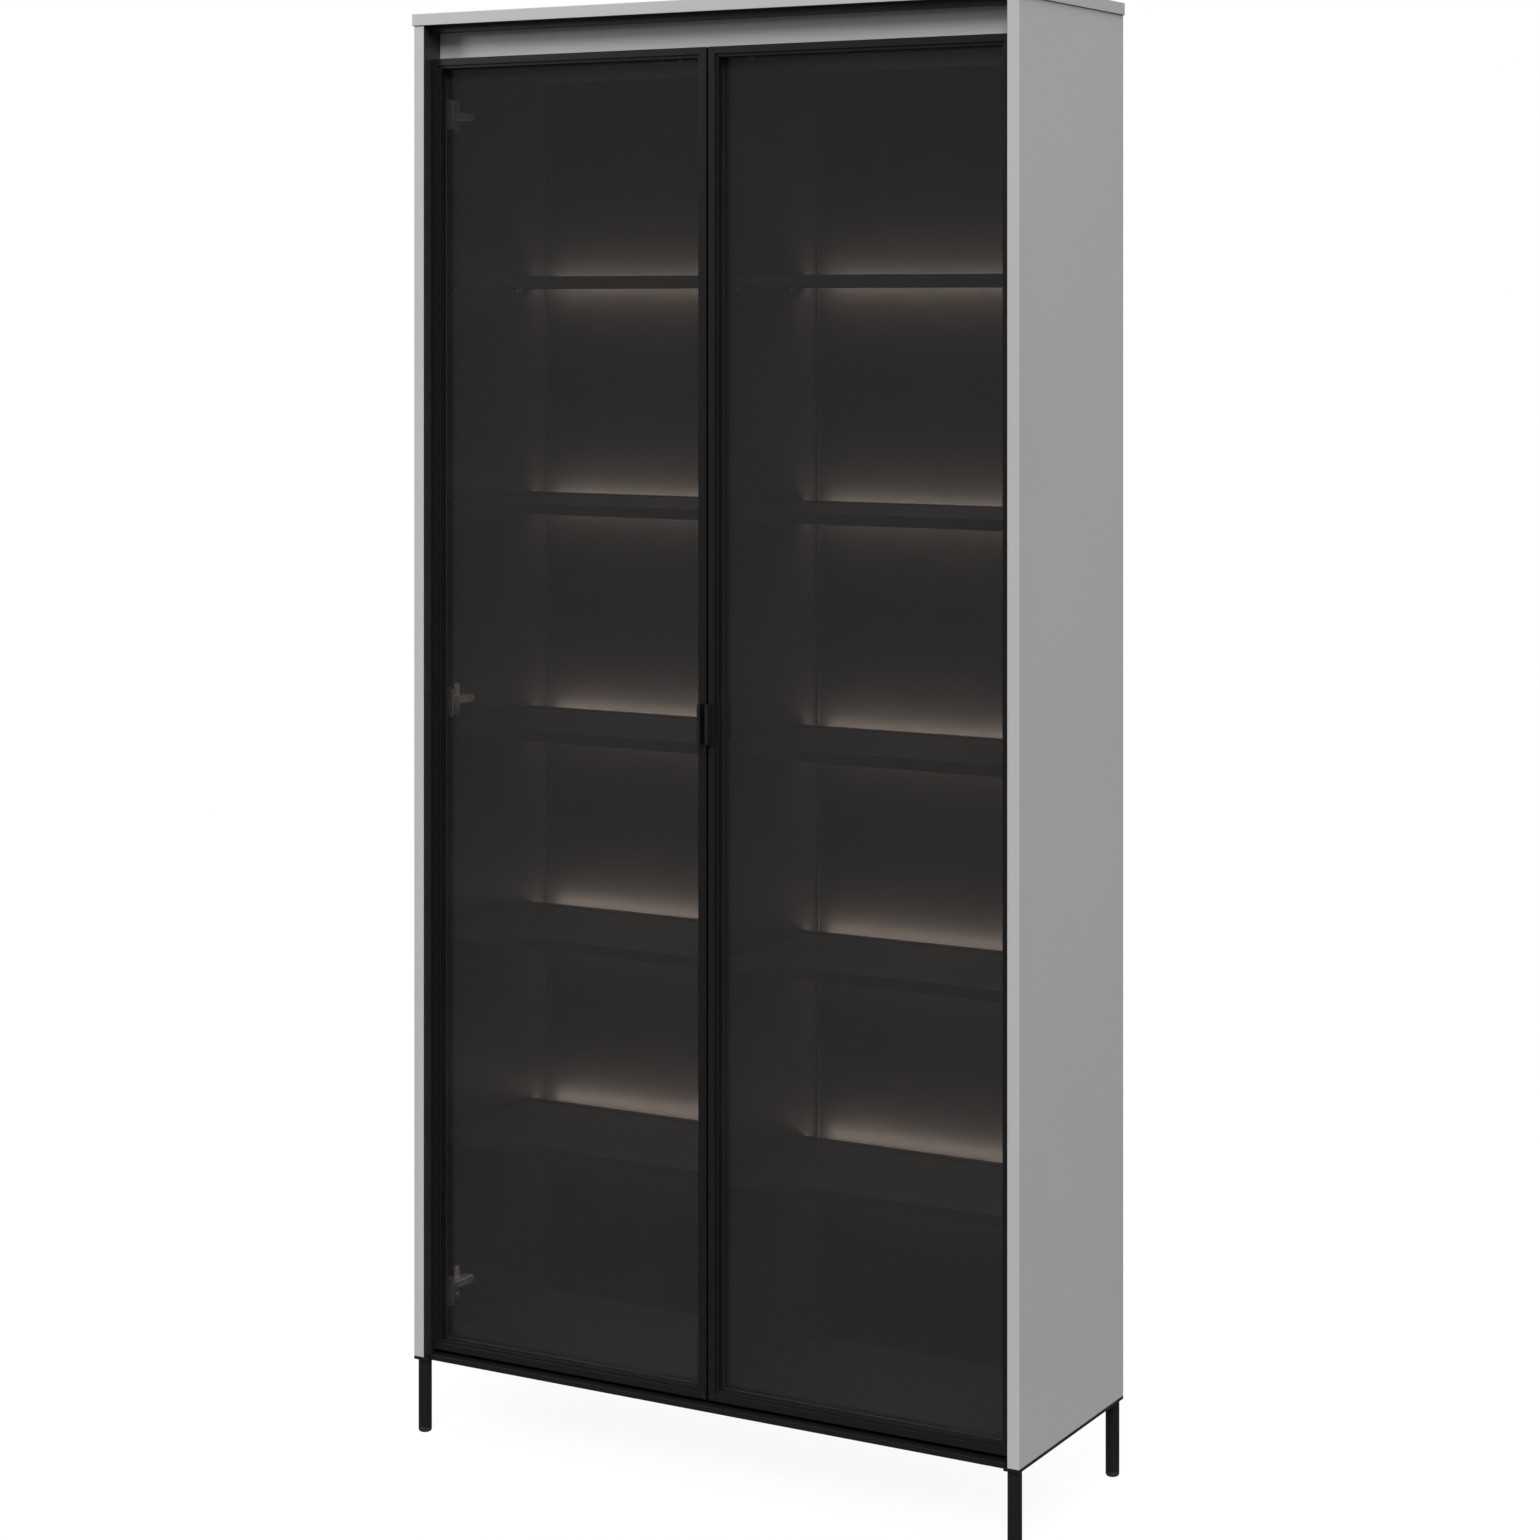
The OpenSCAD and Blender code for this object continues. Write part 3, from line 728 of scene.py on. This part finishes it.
def make_legs():
    """Round tubes with eased ends, on glides, held by threaded studs."""
    glide_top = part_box("leg_glides")[1].z
    stud_low, stud_high = (corner.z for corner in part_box("leg_studs"))
    ease = 0.5 * MM
    mid_ease = 0.15 * MM
    bore = 3.2 * MM
    stud_radius = 3 * MM
    glides = bmesh.new()
    studs = bmesh.new()
    for leg, centre in leg_centres().items():
        low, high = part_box(f"leg_{leg}")
        radius = (high.x - low.x) / 2
        place = Matrix.Translation(centre)
        bm = tube([(bore, low.z), (radius - ease, low.z), (radius - mid_ease, low.z + mid_ease),
                   (radius, low.z + ease), (radius, high.z - ease),
                   (radius - mid_ease, high.z - mid_ease), (radius - ease, high.z), (bore, high.z)])
        bm.transform(place)
        add_piece(f"{leg}_leg_tube", bm, "root", ["black_steel"], f"leg_{leg}")
        merge(glides, glide_shape(radius, glide_top), place)
        merge(studs, stud_shape(stud_radius, stud_low, stud_high), place)
    add_piece("leg_glide_feet", glides, "root", ["black_plastic"], "leg_glides")
    add_piece("leg_threaded_studs", studs, "root", ["nickel_plated"], "leg_studs")


def glide_shape(radius, top):
    """A glide with a rounded foot and a thin groove under the tube."""
    rounding = 4 * MM
    arc_steps = 6
    groove = 0.5 * MM
    arc = [math.pi / 2 * i / arc_steps for i in range(arc_steps + 1)]
    profile = [(radius - rounding + rounding * math.sin(a), rounding - rounding * math.cos(a)) for a in arc]
    profile += [(radius, top - 0.7 * MM), (radius - groove, top - groove), (radius - groove, top)]
    return lathe(profile)


def stud_shape(radius, low, high):
    """A threaded rod with chamfered ends."""
    pitch = 1.0 * MM
    profile = [(0.75 * radius, low)]
    for i in range(int((high - low) / pitch) - 1):
        profile += [(radius, low + (i + 0.5) * pitch), (0.84 * radius, low + (i + 1) * pitch)]
    return lathe(profile + [(0.75 * radius, high)], 20)


def make_base():
    """Flat steel bars under the shell, and the socket screws that hold them."""
    for name in ("base_bar_front", "base_bar_rear", "base_bar_left", "base_bar_right"):
        softened_node(name, f"{name}_steel", 0.5 * MM)
    part = screw(radius=3.8 * MM, height=2 * MM, shank_radius=2 * MM, length=15.9 * MM,
                 recess=hexagon(3.4 * MM), depth=1.2 * MM)
    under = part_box("base_bar_rear")[0].z
    bm = screws_in("base_screws", part, FACING_DOWN, face_z=under)
    add_piece("base_socket_screws", bm, "root", ["nickel_plated"], "base_screws")


def make_back_screws():
    """Cross-head screws through the back into the partition."""
    part = screw(radius=3.8 * MM, height=2 * MM, shank_radius=2 * MM, length=21.4 * MM,
                 recess=cross_outline(size=4 * MM, width=0.9 * MM), depth=1 * MM)
    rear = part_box("back_panel")[1].y
    bm = screws_in("back_screws", part, FACING_BACK, face_y=rear)
    add_piece("back_panel_screws", bm, "root", ["nickel_plated"], "back_screws")


def make_bumpers():
    """Small domed pads that the doors close on."""
    bm = bmesh.new()
    for low, high in islands("door_bumpers"):
        radius = (high.x - low.x) / 2
        height = high.y - low.y
        centre = (low + high) / 2
        profile = [(radius, 0), (radius, 0.3 * height), (0.93 * radius, 0.6 * height),
                   (0.75 * radius, 0.85 * height), (0.4 * radius, height)]
        merge(bm, lathe(profile, 28), Matrix.Translation((centre.x, high.y, centre.z)) @ FACING_FRONT)
    add_piece("door_bumper_pads", bm, "root", ["clear_bumper"], "door_bumpers")


# ---- Hinges ----
# Drawn with x from the side panel's face inwards, y from the shell's front edges back, z from mid-height.

def hinge_heights():
    """Height of each hinge's middle."""
    return sorted({round((low.z + high.z) / 2, 5) for low, high in islands("hinge_arms")})


def hinge_matrices(sides):
    """Where each hinge of these sides goes."""
    found = []
    for side in sides:
        sign = SIDES[side]
        mirror = Matrix.Diagonal((-sign, 1, 1, 1))
        for z in hinge_heights():
            found.append(Matrix.Translation((sign * INNER_X, FRONT_Y, z)) @ mirror)
    return found


HINGE_MIDDLE = (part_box("hinge_plates")[0].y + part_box("hinge_plates")[1].y) / 2 - FRONT_Y
PLATE_THICKNESS = 3 * MM
WING_THICKNESS = 1.8 * MM
SCREW_SPREAD = 19 * MM


def lying_prism(outline, low, high, y):
    """A prism whose outline lies in the YZ plane, moved back by y, and whose height runs along +X."""
    bm = prism([(p[1], p[0]) for p in outline], low, high)
    bm.transform(Matrix.Translation((0, y, 0)) @ SWAP_X_AND_Z)
    return bm


def hinge_plate():
    """Stamped cross-shaped mounting plate with a raised body."""
    wing_outline = rounded_rectangle(width=13 * MM, height=50 * MM, radius=5 * MM)
    body_outline = rounded_rectangle(width=46 * MM, height=12.6 * MM, radius=3 * MM)
    wings = soften(lying_prism(wing_outline, 0, WING_THICKNESS, HINGE_MIDDLE), width=0.4 * MM)
    body = soften(lying_prism(body_outline, 0, PLATE_THICKNESS, HINGE_MIDDLE), width=0.5 * MM)
    return merge(wings, body)


def hinge_screw_set():
    """Two cross-head screws through the wings of a plate."""
    part = screw(radius=3.6 * MM, height=1.6 * MM, shank_radius=2 * MM, length=10 * MM,
                 recess=cross_outline(size=3.9 * MM, width=0.9 * MM), depth=1 * MM)
    places = [Matrix.Translation((WING_THICKNESS, HINGE_MIDDLE, s * SCREW_SPREAD)) @ FACING_RIGHT
              for s in (-1, 1)]
    return copies(part, places)


ARM_FRONT = 53 * MM
ARM_LENGTH = 62 * MM
ARM_WIDTH = 12 * MM
ARM_HEIGHT = 10 * MM
ARM_SCREWS = (ARM_FRONT + 15 * MM, ARM_FRONT + 48 * MM)


def hinge_screw_head(radius):
    """Cross-head screw head of an arm or a cup."""
    recess = cross_outline(size=3.2 * MM, width=0.8 * MM)
    return screw_head(radius, height=1.3 * MM, recess=recess, depth=0.9 * MM)


def hinge_arm():
    """Arched arm on the plate, with a slot, two adjusting screws, two pivots and a clip lever."""
    top = PLATE_THICKNESS + ARM_HEIGHT
    middle = ARM_FRONT + ARM_LENGTH / 2
    rear = ARM_FRONT + ARM_LENGTH
    cut_top = top + CUT_CLEARANCE
    arm_outline = rounded_rectangle(width=ARM_LENGTH, height=ARM_WIDTH, radius=5.6 * MM)
    body = soften(lying_prism(arm_outline, PLATE_THICKNESS, top, middle), width=1.6 * MM, segments=3)

    slot_outline = rounded_rectangle(width=15 * MM, height=4.4 * MM, radius=2.1 * MM)
    slot_floor = top - 1.6 * MM
    body = carved(body, lying_prism(slot_outline, slot_floor, cut_top, middle + 1 * MM))

    well_floor = top - 1.2 * MM
    for y in ARM_SCREWS:
        body = carved(body, lying_prism(circle(3.4 * MM, steps=24), well_floor, cut_top, y))
    for y in ARM_SCREWS:
        merge(body, hinge_screw_head(2.9 * MM), Matrix.Translation((well_floor, y, 0)) @ FACING_RIGHT)

    pivot_radius, pivot_end = 1.6 * MM, 6.6 * MM
    shoulder, end_radius = 6.3 * MM, 1.2 * MM
    for x, y in ((top - 3.4 * MM, ARM_FRONT + 4 * MM), (top - 7 * MM, ARM_FRONT + 7 * MM)):
        pivot = lathe([(end_radius, -pivot_end), (pivot_radius, -shoulder), (pivot_radius, shoulder),
                       (end_radius, pivot_end)], 16)
        merge(body, pivot, Matrix.Translation((x, y, 0)))

    half_lever = 3 * MM
    lever = block((top - 6 * MM, rear - 2 * MM, -half_lever), (top - 2 * MM, rear + 2.4 * MM, half_lever))
    soften(lever, width=0.6 * MM)
    return merge(body, lever)


def hinge_cup():
    """Flange on the back of the door with a hollow drum, two pivots and two screws."""
    low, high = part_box("right_hinge_cups")
    depth = high.y - low.y
    outline = rounded_rectangle(width=high.x - low.x, height=44 * MM, radius=5 * MM)
    cup = soften(prism(outline, 0, 2.2 * MM), width=0.5 * MM)

    radius = 8 * MM
    drum = lathe([(8.6 * MM, 0.5 * MM), (radius, 2.6 * MM), (radius, depth - 1.4 * MM),
                  (7.6 * MM, depth - 0.4 * MM), (6.8 * MM, depth)])
    merge(cup, carved(drum, lathe([(6 * MM, 3.5 * MM), (6.2 * MM, depth + CUT_CLEARANCE)])))

    pivot_radius, pivot_end, pivot_z = 1.3 * MM, 6.2 * MM, depth - 3.2 * MM
    for x in (-3 * MM, 1.5 * MM):
        pivot = lathe([(pivot_radius, -pivot_end), (pivot_radius, pivot_end)], 16)
        merge(cup, pivot, Matrix.Translation((x, 0, pivot_z)) @ FACING_FRONT)

    screw_spread, head_z = 15.5 * MM, 2.1 * MM
    for s in (-1, 1):
        merge(cup, hinge_screw_head(3 * MM), Matrix.Translation((0, s * screw_spread, head_z)))

    x = INNER_X - (low.x + high.x) / 2
    cup.transform(Matrix.Translation((x, low.y - FRONT_Y, 0)) @ FACING_BACK)
    return cup


def make_hinges():
    """Three concealed hinges on each door."""
    everywhere = hinge_matrices(SIDES)
    add_piece("hinge_mounting_plates", copies(hinge_plate(), everywhere), "root", ["nickel_plated"],
              "hinge_plates")
    add_piece("hinge_plate_screws", copies(hinge_screw_set(), everywhere), "root", ["nickel_plated"],
              "hinge_screws")
    add_piece("hinge_arched_arms", copies(hinge_arm(), everywhere), "root", ["nickel_plated"],
              "hinge_arms")
    for side in SIDES:
        add_piece(f"{side}_door_hinge_cups", copies(hinge_cup(), hinge_matrices([side])),
                  f"{side}_door", ["nickel_plated"], f"{side}_hinge_cups")


# ---- Doors ----

def make_frame(side):
    """Mitred frame profile; its eased edges leave a hairline at each mitre."""
    for part in ("outer_stile", "inner_stile", "top_rail", "bottom_rail"):
        softened_node(f"{side}_door_{part}", f"{side}_{part}_profile", 0.35 * MM)


def make_glass(side):
    """Smoked pane with ground edges."""
    softened_node(f"{side}_door_glass", f"{side}_glass_pane", 0.5 * MM)


def make_gasket(side):
    """Flat seal between frame and glass, with a bead that shows along the frame."""
    low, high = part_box(f"{side}_door_gasket")
    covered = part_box(f"{side}_door_bottom_rail")[1].z - low.z
    thickness = high.y - low.y
    bead = 0.8 * MM
    set_back = 0.3 * MM
    arc_end, arc_steps = 70, 5
    turns = [math.radians(arc_end * (2 * i / arc_steps - 1)) for i in range(arc_steps + 1)]
    profile = [(0, 0)]
    profile += [(covered + bead * math.cos(t) - set_back, bead * math.sin(t)) for t in turns]
    profile += [(covered, thickness), (0, thickness)]
    bm = bmesh.new()
    loops = []
    for inset, y in profile:
        x0, x1 = low.x + inset, high.x - inset
        z0, z1 = low.z + inset, high.z - inset
        corners = ((x0, z0), (x1, z0), (x1, z1), (x0, z1))
        loops.append(loop_of(bm, [Vector((x, low.y + y, z)) for x, z in corners]))
    skin_over(bm, loops + loops[:1], caps=False)
    add_piece(f"{side}_glass_gasket", bm, f"{side}_door", ["gasket_rubber"], f"{side}_door_gasket")


def make_pull(side):
    """Fin pull with eased ends, and its screws from the back of the stile."""
    softened_node(f"{side}_door_pull", f"{side}_fin_pull", 0.4 * MM, 3)
    name = f"{side}_pull_screws"
    part = screw(radius=2.2 * MM, height=1.5 * MM, shank_radius=1.5 * MM, length=29.9 * MM,
                 recess=cross_outline(size=2.6 * MM, width=0.7 * MM), depth=0.8 * MM)
    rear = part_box(f"{side}_door_inner_stile")[1].y
    bm = screws_in(name, part, FACING_BACK, face_y=rear)
    add_piece(f"{side}_pull_cross_screws", bm, f"{side}_door", ["nickel_plated"], name)


def make_doors():
    """Both doors."""
    for side in SIDES:
        make_frame(side)
        make_glass(side)
        make_gasket(side)
        make_pull(side)


# ---- Stage ----

# The photographed view: a level camera at the front right, shifted down to hold the legs
CAMERA_PLACE = (2.4008, -4.2361, 1.6862)
CAMERA_TURN = math.radians(29.40)
CAMERA_LENS = 77.25    # mm
CAMERA_SENSOR = 36.0   # mm
CAMERA_SHIFT = -0.2997
CAMERA_REACH = 100.0


def make_camera():
    """The camera at the photographed angle."""
    data = bpy.data.cameras.new("camera")
    data.lens = CAMERA_LENS
    data.sensor_width = CAMERA_SENSOR
    data.shift_y = CAMERA_SHIFT
    data.clip_end = CAMERA_REACH
    camera = bpy.data.objects.new("camera", data)
    camera.location = CAMERA_PLACE
    camera.rotation_euler = (math.pi / 2, 0, CAMERA_TURN)
    bpy.context.scene.collection.objects.link(camera)
    bpy.context.scene.camera = camera


FLOOR_THINNESS = 0.93      # share of the white backdrop in the floor near the cabinet
FLOOR_FADE = (1.5, 6.0)    # where the floor starts and ends thinning out, from the cabinet's middle
FLOOR_RADIUS = 14.0
FLOOR_STEPS = 96


def floor_material():
    """Pale seamless floor with a faint shadow, that thins out into the white backdrop."""
    made, tree, shader = new_material("pale_floor")
    tree.nodes.remove(shader)
    matt = add_node(tree, "ShaderNodeBsdfDiffuse", {
        "Color": tones(tree, noise(tree, 0.6), grey(0.885), grey(0.895)),
    })
    away = add_node(tree, "ShaderNodeVectorMath", {0: surface_point(tree)}, operation="LENGTH")
    clear = add_node(tree, "ShaderNodeBsdfTransparent", {"Color": (1, 1, 1, 1)})
    mix = add_node(tree, "ShaderNodeMixShader", {
        "Fac": between(tree, away.outputs["Value"], FLOOR_THINNESS, 1, *FLOOR_FADE),
    })
    tree.links.new(matt.outputs["BSDF"], mix.inputs[1])
    tree.links.new(clear.outputs["BSDF"], mix.inputs[2])
    tree.links.new(mix.outputs["Shader"], tree.nodes["Material Output"].inputs["Surface"])
    return made


def make_floor():
    """A large disc under the glides, which shows to the camera only."""
    bm = bmesh.new()
    bm.faces.new(loop_of(bm, circle(FLOOR_RADIUS, steps=FLOOR_STEPS)))
    mesh = bpy.data.meshes.new("floor")
    bm.to_mesh(mesh)
    bm.free()
    mesh.materials.append(floor_material())
    floor = bpy.data.objects.new("floor", mesh)
    bpy.context.scene.collection.objects.link(floor)
    floor.visible_glossy = False
    floor.visible_diffuse = False
    floor.visible_transmission = False
    floor.visible_shadow = False


BACKDROP = (1, 1, 1, 1)
GROUND_GREY = 0.22
SIDE_GREY = 0.185
SIDE_BAND = (0.30, 0.58)    # from 0 straight down to 1 straight up
SKY_GREY = 0.36


def make_world():
    """White to the camera; a dim, soft surround for everything else."""
    world = bpy.data.worlds.new("studio")
    world.use_nodes = True
    bpy.context.scene.world = world
    tree = world.node_tree
    shader = tree.nodes["Background"]
    direction = tree.nodes.new("ShaderNodeTexCoord").outputs["Generated"]
    height = add_node(tree, "ShaderNodeSeparateXYZ", {"Vector": direction}).outputs["Z"]
    ramp = tree.nodes.new("ShaderNodeValToRGB")
    lowest, highest = ramp.color_ramp.elements
    lowest.color = (*grey(GROUND_GREY), 1)
    highest.color = (*grey(SKY_GREY), 1)
    for position in SIDE_BAND:
        ramp.color_ramp.elements.new(position).color = (*grey(SIDE_GREY), 1)
    tree.links.new(between(tree, height, 0, 1, -1, 1), ramp.inputs["Fac"])
    set_inputs(shader, {"Color": ramp.outputs["Color"], "Strength": 1.0})
    white = add_node(tree, "ShaderNodeBackground", {"Color": BACKDROP, "Strength": 1.0})
    seen = tree.nodes.new("ShaderNodeLightPath").outputs["Is Camera Ray"]
    mix = add_node(tree, "ShaderNodeMixShader", {"Fac": seen})
    tree.links.new(shader.outputs["Background"], mix.inputs[1])
    tree.links.new(white.outputs["Background"], mix.inputs[2])
    tree.links.new(mix.outputs["Shader"], tree.nodes["World Output"].inputs["Surface"])


SOFTBOX_TARGET = Vector((0, 0, 1.1))
SUN_TARGET = Vector((0, 0, 0))
SUN_DISTANCE = 6.0    # places the lamp only; a sun's light is the same from any distance


def aimed(obj, azimuth, elevation, distance, target):
    """Puts a lamp round the target: azimuth 0 is in front and 90 to the right, in degrees."""
    a, e = math.radians(azimuth), math.radians(elevation)
    away = Vector((math.sin(a) * math.cos(e), -math.cos(a) * math.cos(e), math.sin(e)))
    obj.location = target + away * distance
    obj.rotation_euler = (-away).to_track_quat("-Z", "Y").to_euler()
    bpy.context.scene.collection.objects.link(obj)


def softbox(name, power, width, height, azimuth, elevation, distance):
    """A rectangular softbox."""
    data = bpy.data.lights.new(name, "AREA")
    data.shape = "RECTANGLE"
    data.size = width
    data.size_y = height
    data.energy = power
    lamp = bpy.data.objects.new(name, data)
    lamp.visible_camera = False
    aimed(lamp, azimuth, elevation, distance, SOFTBOX_TARGET)


def wide_sun(name, strength, spread, azimuth, elevation):
    """Even light from a wide patch of the room, its spread in degrees."""
    data = bpy.data.lights.new(name, "SUN")
    data.energy = strength
    data.angle = math.radians(spread)
    aimed(bpy.data.objects.new(name, data), azimuth, elevation, SUN_DISTANCE, SUN_TARGET)


def make_lights_of_studio():
    """A wide key from the front right, fills for the sides and the rear, and light from above."""
    wide_sun("key", strength=2.75, spread=27, azimuth=22, elevation=40)
    wide_sun("overhead", strength=0.9, spread=70, azimuth=0, elevation=90)
    wide_sun("rear_fill", strength=1.5, spread=50, azimuth=195, elevation=35)
    softbox("left_fill", power=115, width=1.8, height=2.4, azimuth=-52, elevation=26, distance=6.0)
    softbox("right_fill", power=190, width=3.0, height=3.0, azimuth=80, elevation=25, distance=8.0)


def set_view():
    """Plain sRGB, so that the backdrop stays white and the greys stay neutral."""
    view = bpy.context.scene.view_settings
    view.view_transform = "Standard"
    view.look = "None"


make_camera()
make_world()
make_floor()
make_lights_of_studio()
set_view()

make_shell()
make_inner_boards()
make_shelves()
make_shelf_pins()
make_lights()
make_grommet()
make_legs()
make_base()
make_back_screws()
make_bumpers()
make_hinges()
make_doors()
